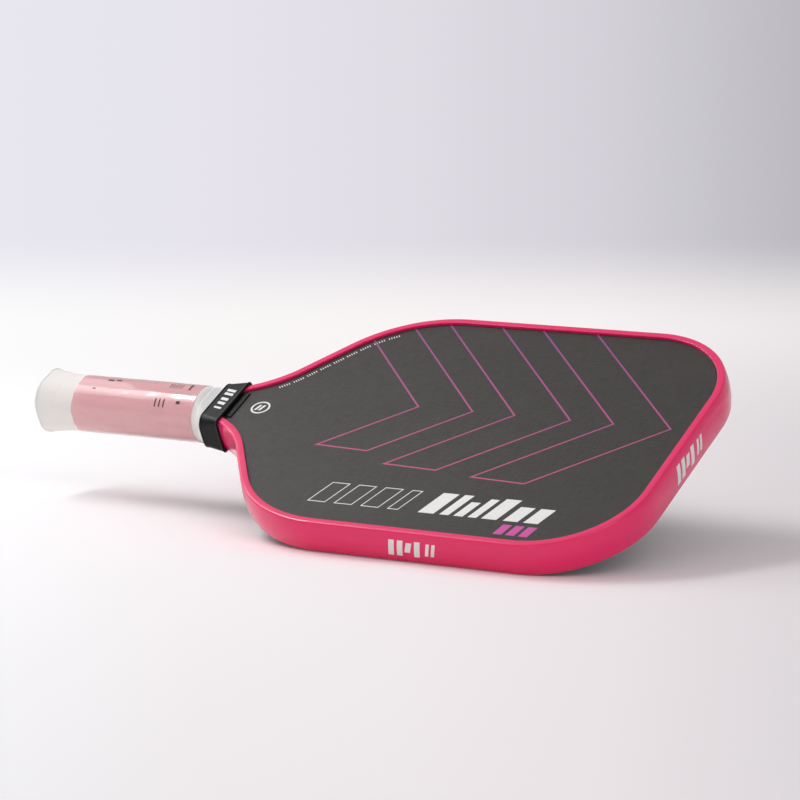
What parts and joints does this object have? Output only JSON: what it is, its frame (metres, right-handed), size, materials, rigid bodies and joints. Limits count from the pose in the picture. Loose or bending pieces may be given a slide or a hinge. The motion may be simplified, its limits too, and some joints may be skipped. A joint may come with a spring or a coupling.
{
  "type": "pickleball paddle",
  "caption": "Pickleball paddle with a carbon face, coloured edge guard, wrapped grip with a film sleeve, and a rubber collar.",
  "frame": {"origin": "middle of the whole paddle: half way along its length, on the handle axis, at half its thickness", "axes": "+X along the handle axis towards the tip of the head, +Y across the face, +Z out of the front face"},
  "size_m": [0.4079, 0.2014, 0.0334],
  "materials": {
    "core": "matte",
    "scrim": "matte",
    "carbon_face": "matte",
    "guard": "satin",
    "handle_shell": "matte",
    "cap": "satin",
    "grip": "matte",
    "tape": "satin",
    "collar": "matte",
    "film": "gloss"
  },
  "bodies": {
    "root": {"honeycomb_core": "core", "front_scrim": "scrim", "rear_scrim": "scrim", "front_face_sheet": "carbon_face", "rear_face_sheet": "carbon_face", "edge_guard": "guard", "front_handle_shell": "handle_shell", "rear_handle_shell": "handle_shell", "butt_cap": "cap", "butt_badge": "cap", "cushion_grip": "grip", "finishing_tape": "tape", "rubber_collar": "collar", "film_sleeve": "film"}
  },
  "joints": []
}
